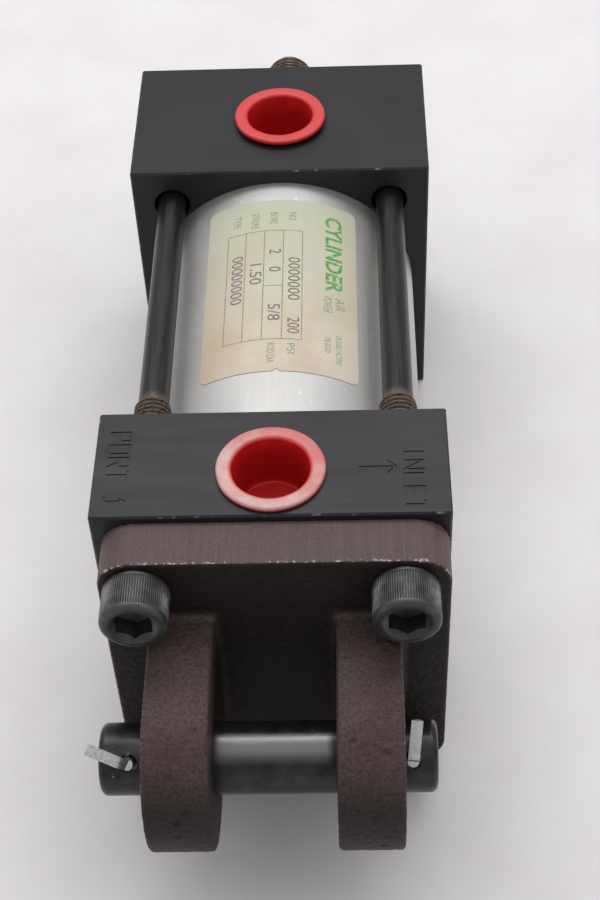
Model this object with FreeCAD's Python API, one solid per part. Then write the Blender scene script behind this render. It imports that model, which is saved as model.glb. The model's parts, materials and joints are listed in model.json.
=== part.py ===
import FreeCAD, Part
import math
import os
from FreeCAD import Vector

# Tie-rod pneumatic cylinder, 2 in bore, 5/8 in rod, with a detachable clevis on its cap end.
# Frame, in millimetres: the origin is where the clevis pin's axis crosses the cylinder's axis, +Y runs
# along the cylinder towards the rod end, +X is across, and +Z is up, through the ports.

INCH = 25.4

# Driving dimensions
HEAD_SIZE = 2.5 * INCH              # square of both end blocks
CAP_LENGTH = 1.0 * INCH
HEAD_LENGTH = 1.5 * INCH
BARREL_SHOWN = 2.775 * INCH         # barrel between the two end blocks
BORE = 2.0 * INCH
BARREL_WALL = 0.125 * INCH
ROD_RADIUS = 0.3125 * INCH
STROKE = 1.5 * INCH
CLEVIS_PLATE = 0.375 * INCH
PIN_TO_PLATE = 0.75 * INCH
PIN_RADIUS = 0.25 * INCH
TIE_SPACING = 1.84 * INCH           # square of the tie rods and of the clevis screws

RUNNING_GAP = 0.04                  # radial clearance of the fits that move
SEAT_GAP = 0.05                     # clearance between pieces that only sit together
HOLE_GAP = 0.25                     # radial clearance of the through holes round screws and tie rods
STOP_GAP = 0.025

# Stations along Y
PLATE_FACE = PIN_TO_PLATE
CAP_FACE = PLATE_FACE + CLEVIS_PLATE
CAP_INNER = CAP_FACE + CAP_LENGTH
HEAD_INNER = CAP_INNER + BARREL_SHOWN
HEAD_FACE = HEAD_INNER + HEAD_LENGTH
HALF_HEAD = HEAD_SIZE / 2
HALF_TIE = TIE_SPACING / 2
BORE_RADIUS = BORE / 2
BARREL_RADIUS = BORE_RADIUS + BARREL_WALL

# Barrel seats
SEAT_DEPTH = 4.0
GASKET = 1.0

# Ports
PORT_RADIUS = 8.05
PORT_DEPTH = 15.5
PORT_SINK = 0.8                     # chamfer at the mouth
CAP_PORT_Y = CAP_FACE + 10.5
HEAD_PORT_Y = HEAD_INNER + 17.75
PASSAGE_RADIUS = 3.0
PASSAGE_Z = 19.6
BLOCK_CHAMFER = 0.35

# Tie rods and their nuts
TIE_SHANK = 3.0
TIE_THREAD = 3.65
TIE_END = CAP_INNER - 12.0          # how deep the rods screw into the cap
TIE_THREAD_SHOWN = 9.6
TIE_NUT_FLATS = 0.4375 * INCH
TIE_NUT_HEIGHT = 6.0
TIE_NUT_POCKET = (6.9, 8.6)         # radius, depth below the outer face
TIE_NUT_SEAT = HEAD_FACE - TIE_NUT_POCKET[1]
TIE_ROD_END = HEAD_FACE - 0.8

# Rod bushing and its retainer
PILOT_RADIUS = 1.124 * INCH / 2
BUSHING_RADIUS = PILOT_RADIUS - 0.2    # inside the block and the retainer
BUSHING_INNER = HEAD_INNER + 8.0
FLANGE_RADIUS = 16.5
FLANGE_THICK = 3.0
RETAINER_RADIUS = 24.5
RETAINER_THICK = 0.375 * INCH
RETAINER_SCREWS = 20.0              # radius of their circle
RETAINER_SCREW = {"head": 3.96, "height": 4.83, "shank": 2.4, "length": 12.0, "socket": 4.0, "depth": 2.6}
RETAINER_SINK = 4.1                 # radius of the screws' counterbores
PILOT_OUT = 0.25 * INCH
BUSHING_END = HEAD_FACE + RETAINER_THICK + PILOT_OUT
SEAL_SEAT = (HEAD_INNER + 23.0, 5.5, 11.6)      # start, length, radius
WIPER_SEAT = (BUSHING_END - 4.0, 4.0, 11.3)
O_RING_SEAT = (HEAD_INNER + 14.0, 2.6, 12.35)

# Piston
PISTON_RADIUS = BORE_RADIUS - 0.1
PISTON_LENGTH = BARREL_SHOWN - STROKE - 2 * STOP_GAP
PISTON_REAR = CAP_INNER + STOP_GAP
PISTON_FRONT = PISTON_REAR + PISTON_LENGTH
NECK_RADIUS = 0.25 * INCH
NUT_POCKET = (11.2, 9.5)            # radius, depth
LOCK_NUT_FLATS = 0.75 * INCH
CUP_GROOVE = (4.5, 20.9)            # width, floor radius
CUP_PLACE = 3.0                     # from each face of the piston to its cup seal's groove
BAND_GROOVE = (8.0, 24.0)

# Rod end
SHOULDER_OUT = RETAINER_THICK + 0.625 * INCH
ROD_SHOULDER = HEAD_FACE + SHOULDER_OUT
ROD_THREAD = 0.4375 * INCH / 2
ROD_THREAD_LENGTH = 0.75 * INCH
ROD_FLATS = 0.5 * INCH
ROD_FLATS_LENGTH = 0.375 * INCH

# Clevis
PLATE_HALF = 30.8
PLATE_SHIFT = (0.6, -0.5)           # the casting's plate stands off centre, along X and Z
PLATE_CORNER = 6.0
EARS = ((-21.9, -10.3), (11.0, 22.6))    # each ear's two faces along X
EAR_RADIUS = 16.1
CAST_ROUND = 0.8
PLATE_ROUND = 0.5                   # along the plate's front rim
CAST_FILLET = 1.4
CLEVIS_SCREW = {
    "head": 0.469 * INCH / 2, "height": 0.3125 * INCH, "shank": 3.95, "length": 21.4,
    "socket": 0.25 * INCH, "depth": 3.9,
}

# Clevis pin and its cotter pins
PIN_HALF = 29.4
PIN_SHIFT = -1.0                    # the pin has slid this far along X
PIN_ROUND = 1.3
COTTER_PLACES = (-25.1, 24.0)       # of the two cross holes along X
COTTER_HOLE = 1.6
COTTER_WIRE = 1.0
COTTER_TILT = 50.0                  # of the cross holes, above the -Y axis
COTTER_LEG = 7.6
COTTER_EYE = 1.3                    # inner radius of the eye
COTTER_LEANS = (155.0, 84.0)        # where each long leg is bent to, from +X round towards the pin's back

# Port plugs
PLUG_FLANGE = 9.9
PLUG_RIM = 1.1
PLUG_TOP = 7.9
PLUG_FOOT = 7.3
PLUG_DEPTH = 12.0
PLUG_WALL = 1.0
PLUG_LIFTS = (0.02, 0.7)            # how far each flange stands off its block, cap and rod end

# Label on the barrel
LABEL_THICK = 0.12
LABEL_START = CAP_FACE + 38.85
LABEL_LENGTH = 51.2
LABEL_ANGLES = (-30.8, 33.8)        # from straight up, towards +X

# Stamped marks on the cap
STAMP_DEPTH = 0.16
STAMP_LINE = 0.2                    # half the width of a line
STAMP_WIDTH = 2.1                   # of a letter
STAMP_PITCH = 3.1                   # from letter to letter
PORT_STAMP = ("PORT 1", -29.3, CAP_INNER - 4.95, 3.8)      # word, x, y, height
INLET_STAMP = ("INLET", 23.6, CAP_INNER - 9.85, 3.5)
ARROW_STAMP = (15.65, CAP_FACE + 11.05, 6.55)              # x, y, length
ARROW_BARB = 1.5

Y_AXIS = Vector(0, 1, 0)


def cyl_y(radius, start, end, x=0.0, z=0.0):
    return Part.makeCylinder(radius, end - start, Vector(x, start, z), Y_AXIS)


def cone_y(start_radius, end_radius, start, end, x=0.0, z=0.0):
    return Part.makeCone(start_radius, end_radius, end - start, Vector(x, start, z), Y_AXIS)


def ring_y(outer, inner, start, end):
    return cyl_y(outer, start, end).cut(cyl_y(inner, start - 1, end + 1))


def cyl_z(radius, bottom, top, x=0.0, y=0.0):
    return Part.makeCylinder(radius, top - bottom, Vector(x, y, bottom), Vector(0, 0, 1))


def box(x0, x1, y0, y1, z0, z1):
    return Part.makeBox(x1 - x0, y1 - y0, z1 - z0, Vector(x0, y0, z0))


def turned(points):
    """A solid turned about the Y axis from (radius, y) points."""
    outline = [Vector(radius, y, 0) for radius, y in points]
    face = Part.Face(Part.makePolygon(outline + outline[:1]))
    return face.revolve(Vector(0, 0, 0), Y_AXIS, 360)


def hex_y(flats, start, end, x=0.0, z=0.0, turn=0.0):
    """A hexagonal prism along Y, measured across its flats."""
    corner = flats / math.sqrt(3)
    angles = [math.radians(turn + 60 * k) for k in range(6)]
    outline = [Vector(x + corner * math.cos(a), start, z + corner * math.sin(a)) for a in angles]
    return Part.Face(Part.makePolygon(outline + outline[:1])).extrude(Vector(0, end - start, 0))


def corners():
    """The four tie-rod axes, as (name, x, z)."""
    return [
        ("upper_left", -HALF_TIE, HALF_TIE),
        ("upper_right", HALF_TIE, HALF_TIE),
        ("lower_left", -HALF_TIE, -HALF_TIE),
        ("lower_right", HALF_TIE, -HALF_TIE),
    ]


def retainer_places():
    return [
        ("top", 0.0, RETAINER_SCREWS),
        ("right", RETAINER_SCREWS, 0.0),
        ("bottom", 0.0, -RETAINER_SCREWS),
        ("left", -RETAINER_SCREWS, 0.0),
    ]


def end_block(start, length):
    block = box(-HALF_HEAD, HALF_HEAD, start, start + length, -HALF_HEAD, HALF_HEAD)
    return block.makeChamfer(BLOCK_CHAMFER, block.Edges)


def port(y):
    """The bore of a port, with its countersunk mouth."""
    bore = cyl_z(PORT_RADIUS, HALF_HEAD - PORT_DEPTH, HALF_HEAD + 1, y=y)
    wide = PORT_RADIUS + PORT_SINK
    sink = Part.makeCone(PORT_RADIUS, wide, PORT_SINK, Vector(0, y, HALF_HEAD - PORT_SINK))
    return bore.fuse(sink)


def barrel_seat(start, end):
    return ring_y(BARREL_RADIUS + SEAT_GAP, BORE_RADIUS - 0.15, start, end)


# Each letter is a list of lines in a box one wide and one high, with its origin lower left
STROKES = {
    "E": [[(1, 0), (0, 0), (0, 1), (1, 1)], [(0, 0.5), (0.8, 0.5)]],
    "I": [[(0.5, 0), (0.5, 1)]],
    "L": [[(0, 1), (0, 0), (1, 0)]],
    "N": [[(0, 0), (0, 1), (1, 0), (1, 1)]],
    "O": [[(0, 0), (0, 1), (1, 1), (1, 0), (0, 0)]],
    "P": [[(0, 0), (0, 1), (1, 1), (1, 0.5), (0, 0.5)]],
    "R": [[(0, 0), (0, 1), (1, 1), (1, 0.5), (0, 0.5)], [(0.5, 0.5), (1, 0)]],
    "T": [[(0.5, 0), (0.5, 1)], [(0, 1), (1, 1)]],
    "1": [[(0.25, 0.7), (0.5, 1), (0.5, 0)], [(0, 0), (1, 0)]],
    " ": [],
}


def groove(points):
    """Shallow round-ended grooves in the top of a block, through (x, y) points."""
    bottom = HALF_HEAD - STAMP_DEPTH
    cuts = []
    for (x0, y0), (x1, y1) in zip(points, points[1:]):
        length = math.hypot(x1 - x0, y1 - y0)
        bar = box(0, length, -STAMP_LINE, STAMP_LINE, bottom, HALF_HEAD + 1)
        bar.rotate(Vector(0, 0, 0), Vector(0, 0, 1), math.degrees(math.atan2(y1 - y0, x1 - x0)))
        bar.translate(Vector(x0, y0, 0))
        cuts += [bar, cyl_z(STAMP_LINE, bottom, HALF_HEAD + 1, x=x1, y=y1)]
    return cuts


def stamp(word, x, y, height):
    """Plain letters that read towards the clevis, with their feet at x and their tops towards +X."""
    cuts = []
    for place, letter in enumerate(word):
        left = y - place * STAMP_PITCH
        for stroke in STROKES[letter]:
            cuts += groove([(x + v * height, left - u * STAMP_WIDTH) for u, v in stroke])
    return cuts


def flow_arrow(x, y, length):
    """A plain arrow that points away from the port."""
    tip = x + length
    back = tip - ARROW_BARB
    return groove([(x, y), (tip, y)]) + groove([(back, y + ARROW_BARB), (tip, y), (back, y - ARROW_BARB)])


def cap_end_block():
    meeting = TIE_END - 0.5
    cuts = [
        barrel_seat(CAP_INNER - SEAT_DEPTH, CAP_INNER + 1),
        port(CAP_PORT_Y),
        cyl_y(PASSAGE_RADIUS, CAP_PORT_Y, CAP_INNER + 1, z=PASSAGE_Z),
    ]
    for _, x, z in corners():
        cuts.append(cyl_y(CLEVIS_SCREW["shank"] + SEAT_GAP, CAP_FACE - 1, meeting, x, z))
        cuts.append(cyl_y(TIE_THREAD + SEAT_GAP, meeting - 0.5, CAP_INNER + 1, x, z))
    cuts += stamp(*PORT_STAMP)
    cuts += stamp(*INLET_STAMP)
    cuts += flow_arrow(*ARROW_STAMP)
    return end_block(CAP_FACE, CAP_LENGTH).cut(cuts)


def rod_end_block():
    sink = FLANGE_THICK + SEAT_GAP
    cuts = [
        barrel_seat(HEAD_INNER - 1, HEAD_INNER + SEAT_DEPTH),
        port(HEAD_PORT_Y),
        cyl_y(PASSAGE_RADIUS, HEAD_INNER - 1, HEAD_PORT_Y, z=PASSAGE_Z),
        cyl_y(ROD_RADIUS + 1.0, HEAD_INNER - 1, BUSHING_INNER + 1),
        cyl_y(BUSHING_RADIUS + SEAT_GAP, BUSHING_INNER, HEAD_FACE + 1),
        cyl_y(FLANGE_RADIUS + SEAT_GAP, HEAD_FACE - sink, HEAD_FACE + 1),
    ]
    for _, x, z in corners():
        cuts.append(cyl_y(TIE_THREAD + HOLE_GAP, HEAD_INNER - 1, HEAD_FACE + 1, x, z))
        cuts.append(cyl_y(TIE_NUT_POCKET[0], TIE_NUT_SEAT, HEAD_FACE + 1, x, z))
    screw_end = HEAD_FACE + RETAINER_THICK - RETAINER_SCREW["height"] - RETAINER_SCREW["length"]
    hole = RETAINER_SCREW["shank"] + SEAT_GAP
    cuts += [cyl_y(hole, screw_end - 1, HEAD_FACE + 1, x, z) for _, x, z in retainer_places()]
    return end_block(HEAD_INNER, HEAD_LENGTH).cut(cuts)


def barrel_tube():
    seated = SEAT_DEPTH - GASKET
    start = CAP_INNER - seated
    end = HEAD_INNER + seated
    bevel = 0.4
    return turned([
        (BORE_RADIUS, start + bevel), (BORE_RADIUS + bevel, start),
        (BARREL_RADIUS - bevel, start), (BARREL_RADIUS, start + bevel),
        (BARREL_RADIUS, end - bevel), (BARREL_RADIUS - bevel, end),
        (BORE_RADIUS + bevel, end), (BORE_RADIUS, end - bevel),
    ])


def barrel_gasket(start):
    return ring_y(BARREL_RADIUS - 0.1, BORE_RADIUS + 0.1, start, start + GASKET)


def label():
    """A thin sheet that follows the barrel."""
    first, last = LABEL_ANGLES
    outline = [
        (BARREL_RADIUS, LABEL_START), (BARREL_RADIUS + LABEL_THICK, LABEL_START),
        (BARREL_RADIUS + LABEL_THICK, LABEL_START + LABEL_LENGTH),
        (BARREL_RADIUS, LABEL_START + LABEL_LENGTH),
    ]
    points = [Vector(0, y, radius) for radius, y in outline]
    sheet = Part.Face(Part.makePolygon(points + points[:1])).revolve(Vector(0, 0, 0), Y_AXIS, last - first)
    sheet.rotate(Vector(0, 0, 0), Y_AXIS, first)
    return sheet


def tie_rod(x, z):
    shank_start = CAP_INNER + TIE_THREAD_SHOWN
    thread_start = TIE_NUT_SEAT - 4.0
    end = TIE_ROD_END
    bevel = 0.7
    rod = turned([
        (0, TIE_END), (TIE_THREAD - bevel, TIE_END), (TIE_THREAD, TIE_END + bevel),
        (TIE_THREAD, shank_start - bevel), (TIE_SHANK, shank_start),
        (TIE_SHANK, thread_start), (TIE_THREAD, thread_start + bevel),
        (TIE_THREAD, end - bevel), (TIE_THREAD - bevel, end), (0, end),
    ])
    rod.translate(Vector(x, 0, z))
    return rod


def hex_nut(flats, height, hole, start, x=0.0, z=0.0):
    """A hexagon nut with its corners turned off at both faces."""
    corner = flats / math.sqrt(3)
    run = corner - flats / 2
    rise = run * math.tan(math.radians(30))
    end = start + height
    body = hex_y(flats, start, end, x, z)
    barrel = cyl_y(corner, start + rise, end - rise, x, z)
    barrel = barrel.fuse([
        cone_y(flats / 2, corner, start, start + rise, x, z),
        cone_y(corner, flats / 2, end - rise, end, x, z),
    ])
    return body.common(barrel).cut(cyl_y(hole, start - 1, end + 1, x, z))


def tie_rod_nut(x, z):
    return hex_nut(TIE_NUT_FLATS, TIE_NUT_HEIGHT, TIE_THREAD + SEAT_GAP, TIE_NUT_SEAT, x, z)


def rod_bushing():
    hole = ROD_RADIUS + RUNNING_GAP
    seal_start, seal_length, seal_radius = SEAL_SEAT
    wiper_start, _, wiper_radius = WIPER_SEAT
    ring_start, ring_length, ring_radius = O_RING_SEAT
    flange_start = HEAD_FACE - FLANGE_THICK
    bevel = 0.6
    return turned([
        (hole, BUSHING_INNER + SEAT_GAP), (BUSHING_RADIUS - bevel, BUSHING_INNER + SEAT_GAP),
        (BUSHING_RADIUS, BUSHING_INNER + SEAT_GAP + bevel),
        (BUSHING_RADIUS, ring_start), (ring_radius, ring_start),
        (ring_radius, ring_start + ring_length), (BUSHING_RADIUS, ring_start + ring_length),
        (BUSHING_RADIUS, flange_start), (FLANGE_RADIUS, flange_start),
        (FLANGE_RADIUS, HEAD_FACE), (BUSHING_RADIUS, HEAD_FACE),
        (BUSHING_RADIUS, BUSHING_END - PILOT_OUT), (PILOT_RADIUS, BUSHING_END - PILOT_OUT),
        (PILOT_RADIUS, BUSHING_END - bevel), (PILOT_RADIUS - bevel, BUSHING_END),
        (wiper_radius, BUSHING_END), (wiper_radius, wiper_start), (hole, wiper_start),
        (hole, seal_start + seal_length), (seal_radius, seal_start + seal_length),
        (seal_radius, seal_start), (hole, seal_start),
    ])


def rod_seal():
    """A cup seal whose lips face the pressure side."""
    start, length, radius = SEAL_SEAT
    inner = ROD_RADIUS + 0.02
    outer = radius - SEAT_GAP
    middle = (inner + outer) / 2
    start += SEAT_GAP
    end = start + length - 2 * SEAT_GAP
    return turned([
        (inner, start + 0.4), (inner + 0.4, start), (inner + 1.0, start), (middle, start + 2.6),
        (outer - 1.0, start), (outer, start), (outer, end), (inner + 0.1, end),
    ])


def rod_wiper():
    start, length, radius = WIPER_SEAT
    inner = ROD_RADIUS + 0.02
    outer = radius - SEAT_GAP
    end = start + length
    lip = 0.9
    return turned([
        (inner + 0.3, start + SEAT_GAP), (outer, start + SEAT_GAP), (outer, end - 0.3),
        (outer - 0.4, end), (inner + 1.1, end), (inner + 0.4, end + lip), (inner, end + lip),
        (inner + 0.3, end - 0.6),
    ])


def o_ring(middle, section, y):
    return Part.makeTorus(middle, section, Vector(0, y, 0), Y_AXIS)


def bushing_o_ring():
    start, length, floor = O_RING_SEAT
    section = (BUSHING_RADIUS + SEAT_GAP - floor) / 2 - 0.02
    return o_ring((BUSHING_RADIUS + SEAT_GAP + floor) / 2, section, start + length / 2)


def bushing_retainer():
    end = HEAD_FACE + RETAINER_THICK
    bevel = 0.8
    plate = cyl_y(RETAINER_RADIUS, HEAD_FACE, end - bevel)
    plate = plate.fuse(cone_y(RETAINER_RADIUS, RETAINER_RADIUS - bevel, end - bevel, end))
    cuts = [cyl_y(PILOT_RADIUS + SEAT_GAP, HEAD_FACE - 1, end + 1)]
    hole = RETAINER_SCREW["shank"] + HOLE_GAP
    for _, x, z in retainer_places():
        cuts.append(cyl_y(hole, HEAD_FACE - 1, end + 1, x, z))
        cuts.append(cyl_y(RETAINER_SINK, end - RETAINER_SCREW["height"], end + 1, x, z))
    return plate.cut(cuts).removeSplitter()


def socket_screw(x, z, seat, side, head, height, shank, length, socket, depth):
    """A socket head cap screw: head and shank are radii, and socket is measured across its flats.

    side is +1 where the head points along +Y and -1 where along -Y."""
    bevel = 0.35
    screw = turned([
        (0, 0), (head - bevel, 0), (head, bevel), (head, height - bevel),
        (head - bevel, height), (0, height),
    ])
    tip = 0.6
    body = turned([
        (0, 0.1), (shank, 0.1), (shank, tip - length), (shank - tip, -length), (0, -length),
    ])
    screw = screw.fuse(body).cut(hex_y(socket, height - depth, height + 1, turn=90))
    screw = screw.cut(cone_y(0.3, socket / math.sqrt(3), height - depth - 1.2, height - depth))
    screw = screw.removeSplitter()
    if side < 0:
        screw.rotate(Vector(0, 0, 0), Vector(0, 0, 1), 180)
    screw.translate(Vector(x, seat, z))
    return screw


def retainer_screw(x, z):
    seat = HEAD_FACE + RETAINER_THICK - RETAINER_SCREW["height"]
    return socket_screw(x, z, seat, 1, **RETAINER_SCREW)


def clevis_screw(x, z):
    return socket_screw(x, z, PLATE_FACE, -1, **CLEVIS_SCREW)


def clevis_ear(x0, x1):
    """One ear between two stations along X, with its casting edges rounded."""
    root = PLATE_FACE + 2.0
    nose = Part.makeCylinder(EAR_RADIUS, x1 - x0, Vector(x0, 0, 0), Vector(1, 0, 0))
    ear = nose.fuse(box(x0, x1, 0, root, -EAR_RADIUS, EAR_RADIUS)).removeSplitter()
    rim = [edge for edge in ear.Edges if abs(edge.BoundBox.XLength) < 0.01
           and edge.BoundBox.YMin < root - 0.5]
    return ear.makeFillet(CAST_ROUND, rim)


def clevis_plate():
    shift_x, shift_z = PLATE_SHIFT
    plate = box(shift_x - PLATE_HALF, shift_x + PLATE_HALF, PLATE_FACE, CAP_FACE,
                shift_z - PLATE_HALF, shift_z + PLATE_HALF)
    upright = [edge for edge in plate.Edges if abs(edge.BoundBox.YLength - CLEVIS_PLATE) < 0.01]
    plate = plate.makeFillet(PLATE_CORNER, upright)
    rim = [edge for edge in plate.Edges if edge.BoundBox.YMax < PLATE_FACE + 0.01]
    return plate.makeFillet(PLATE_ROUND, rim)


def clevis_bracket():
    bracket = clevis_plate().fuse([clevis_ear(*ear) for ear in EARS]).removeSplitter()
    left, right = EARS[0][0] - 0.1, EARS[1][1] + 0.1
    reach = EAR_RADIUS + 0.1
    roots = [edge for edge in bracket.Edges
             if edge.BoundBox.YLength < 0.01 and abs(edge.BoundBox.YMin - PLATE_FACE) < 0.01
             and edge.BoundBox.XMin > left and edge.BoundBox.XMax < right
             and edge.BoundBox.ZMin > -reach and edge.BoundBox.ZMax < reach]
    bracket = bracket.makeFillet(CAST_FILLET, roots)
    eye = Part.makeCylinder(PIN_RADIUS + RUNNING_GAP, right - left, Vector(left, 0, 0), Vector(1, 0, 0))
    cuts = [eye]
    hole = CLEVIS_SCREW["shank"] + HOLE_GAP
    cuts += [cyl_y(hole, PLATE_FACE - 1, CAP_FACE + 1, x, z) for _, x, z in corners()]
    return bracket.cut(cuts)


def cotter_frame():
    """The cross holes' direction, and the direction round the pin at their mouth."""
    tilt = math.radians(COTTER_TILT)
    out = Vector(0, -math.cos(tilt), math.sin(tilt))
    around = Vector(0, math.sin(tilt), math.cos(tilt))
    return out, around


def clevis_pin():
    pin = Part.makeCylinder(PIN_RADIUS, 2 * PIN_HALF, Vector(PIN_SHIFT - PIN_HALF, 0, 0), Vector(1, 0, 0))
    rims = [edge for edge in pin.Edges if edge.BoundBox.XLength < 0.01]
    pin = pin.makeFillet(PIN_ROUND, rims)
    out, _ = cotter_frame()
    reach = PIN_RADIUS + 2
    for place in COTTER_PLACES:
        start = Vector(place, 0, 0).sub(out * reach)
        pin = pin.cut(Part.makeCylinder(COTTER_HOLE, 2 * reach, start, out))
    return pin


def half_round(centre, flat, depth):
    """A half-round wire section: its straight side runs along depth, and it bulges along flat."""
    a = centre.sub(depth * COTTER_WIRE)
    b = centre.add(depth * COTTER_WIRE)
    arc = Part.Arc(a, centre.add(flat * COTTER_WIRE), b).toShape()
    return Part.Face(Part.Wire([arc, Part.LineSegment(b, a).toShape()]))


def cotter_pin(x, lean):
    """A cotter pin with one long leg bent towards lean, and the other cut short."""
    out, around = cotter_frame()
    spread = Vector(1, 0, 0) * math.cos(math.radians(lean)) + around * math.sin(math.radians(lean))
    depth = out.cross(spread)
    middle = Vector(x, 0, 0)
    leg_start = -(PIN_RADIUS + 0.9)
    bend_at = PIN_RADIUS + 0.75
    bend_radius = 1.1
    bend_angle = 80.0
    split = 0.02
    foot = middle.add(out * leg_start)
    long_base = foot.add(spread * split)
    long_leg = half_round(long_base, spread, depth).extrude(out * (bend_at - leg_start))
    knee = long_base.add(out * (bend_at - leg_start))
    pivot = knee.add(spread * (COTTER_WIRE + bend_radius))
    bend = half_round(knee, spread, depth).revolve(pivot, depth, bend_angle)
    tip_face = half_round(knee, spread, depth)
    tip_face.rotate(pivot, depth, bend_angle)
    heading = out * math.cos(math.radians(bend_angle)) + spread * math.sin(math.radians(bend_angle))
    tip = tip_face.extrude(heading * (COTTER_LEG - COTTER_WIRE - bend_radius))
    short_base = foot.sub(spread * split)
    short_leg = half_round(short_base, spread * -1, depth).extrude(out * (PIN_RADIUS + 1.3 - leg_start))
    eye_centre = foot.sub(out * (COTTER_EYE + 0.5 * COTTER_WIRE))
    section = half_round(eye_centre.add(spread * COTTER_EYE), spread, depth)
    eye = section.revolve(eye_centre, depth, 360)
    return long_leg.fuse([bend, tip, short_leg, eye]).removeSplitter()


def port_plug(y, lift):
    """A hollow push-in plug with a wide flange. lift is how far its flange stands off the block."""
    top = lift + PLUG_RIM
    foot = top - PLUG_DEPTH
    outline = [
        (0, foot), (PLUG_FOOT - 0.5, foot), (PLUG_FOOT, foot + 0.5), (PLUG_TOP, lift - 0.9),
        (PLUG_TOP, lift), (PLUG_FLANGE - 0.2, lift), (PLUG_FLANGE, lift + 0.2),
        (PLUG_FLANGE, top - 0.35), (PLUG_FLANGE - 0.35, top), (PLUG_TOP - 0.7, top),
        (PLUG_TOP - 1.15, top - 0.5), (PLUG_FOOT - PLUG_WALL, foot + PLUG_WALL),
        (0, foot + PLUG_WALL),
    ]
    plug = turned(outline)
    plug.rotate(Vector(0, 0, 0), Vector(1, 0, 0), 90)
    plug.translate(Vector(0, y, HALF_HEAD))
    return plug


def piston():
    rear, front, length = PISTON_REAR, PISTON_FRONT, PISTON_LENGTH
    pocket_radius, pocket_depth = NUT_POCKET
    cup_width, cup_floor = CUP_GROOVE
    band_width, band_floor = BAND_GROOVE
    hole = NECK_RADIUS + SEAT_GAP
    bevel = 0.5
    ring_start, ring_width, ring_floor = piston_ring_seat()
    outline = [(pocket_radius, rear), (PISTON_RADIUS - bevel, rear), (PISTON_RADIUS, rear + bevel)]
    grooves = [
        (rear + CUP_PLACE, cup_width, cup_floor),
        (rear + (length - band_width) / 2, band_width, band_floor),
        (front - CUP_PLACE - cup_width, cup_width, cup_floor),
    ]
    for start, width, floor in grooves:
        outline += [(PISTON_RADIUS, start), (floor, start), (floor, start + width),
                    (PISTON_RADIUS, start + width)]
    outline += [(PISTON_RADIUS, front - bevel), (PISTON_RADIUS - bevel, front), (hole, front)]
    outline += [(hole, ring_start + ring_width), (ring_floor, ring_start + ring_width),
                (ring_floor, ring_start), (hole, ring_start)]
    outline += [(hole, rear + pocket_depth), (pocket_radius, rear + pocket_depth)]
    return turned(outline)


def piston_ring_seat():
    return PISTON_FRONT - 7.0, 2.4, NECK_RADIUS + 1.55


def piston_cup(start, facing):
    """A piston cup seal whose lips face along Y, +1 to the rod and -1 to the cap."""
    width, floor = CUP_GROOVE
    gap = 0.1
    inner = floor + gap
    outer = BORE_RADIUS - 0.03
    middle = (inner + outer) / 2
    base = start + gap if facing > 0 else start + width - gap
    reach = facing * (width - 2 * gap)
    lips = base + reach
    return turned([
        (inner, base), (outer - 0.25, base), (outer, lips - facing * 0.6), (outer - 0.5, lips),
        (outer - 1.2, lips), (middle, lips - facing * 2.0), (inner + 1.0, lips), (inner, lips),
    ])


def piston_wear_band():
    width, floor = BAND_GROOVE
    gap = 0.1
    start = PISTON_REAR + (PISTON_LENGTH - width) / 2 + gap
    return ring_y(BORE_RADIUS - 0.03, floor + gap, start, start + width - 2 * gap)


def piston_o_ring():
    start, width, floor = piston_ring_seat()
    return o_ring((NECK_RADIUS + floor) / 2, (floor - NECK_RADIUS) / 2 - 0.02, start + width / 2)


def piston_lock_nut():
    floor = PISTON_REAR + NUT_POCKET[1]
    height = 7.5
    return hex_nut(LOCK_NUT_FLATS, height, NECK_RADIUS + SEAT_GAP, floor - height)


def piston_rod():
    neck_start = PISTON_REAR + 1.0
    relief = 2.0
    tip = 1.2
    end = ROD_SHOULDER + ROD_THREAD_LENGTH
    rod = turned([
        (0, neck_start), (NECK_RADIUS - 0.5, neck_start), (NECK_RADIUS, neck_start + 0.5),
        (NECK_RADIUS, PISTON_FRONT), (ROD_RADIUS, PISTON_FRONT),
        (ROD_RADIUS, ROD_SHOULDER - 0.8), (ROD_RADIUS - 0.8, ROD_SHOULDER),
        (ROD_THREAD - 0.9, ROD_SHOULDER), (ROD_THREAD - 0.9, ROD_SHOULDER + relief - 0.9),
        (ROD_THREAD, ROD_SHOULDER + relief), (ROD_THREAD, end - tip), (ROD_THREAD - tip, end),
        (1.6, end), (0, end - 2.4),
    ])
    flats_start = ROD_SHOULDER - ROD_FLATS_LENGTH
    reach = ROD_RADIUS + 1
    for side in (-1, 1):
        x0, x1 = sorted((side * ROD_FLATS / 2, side * reach))
        rod = rod.cut(box(x0, x1, flats_start, ROD_SHOULDER + 0.01, -reach, reach))
    return rod


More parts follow.
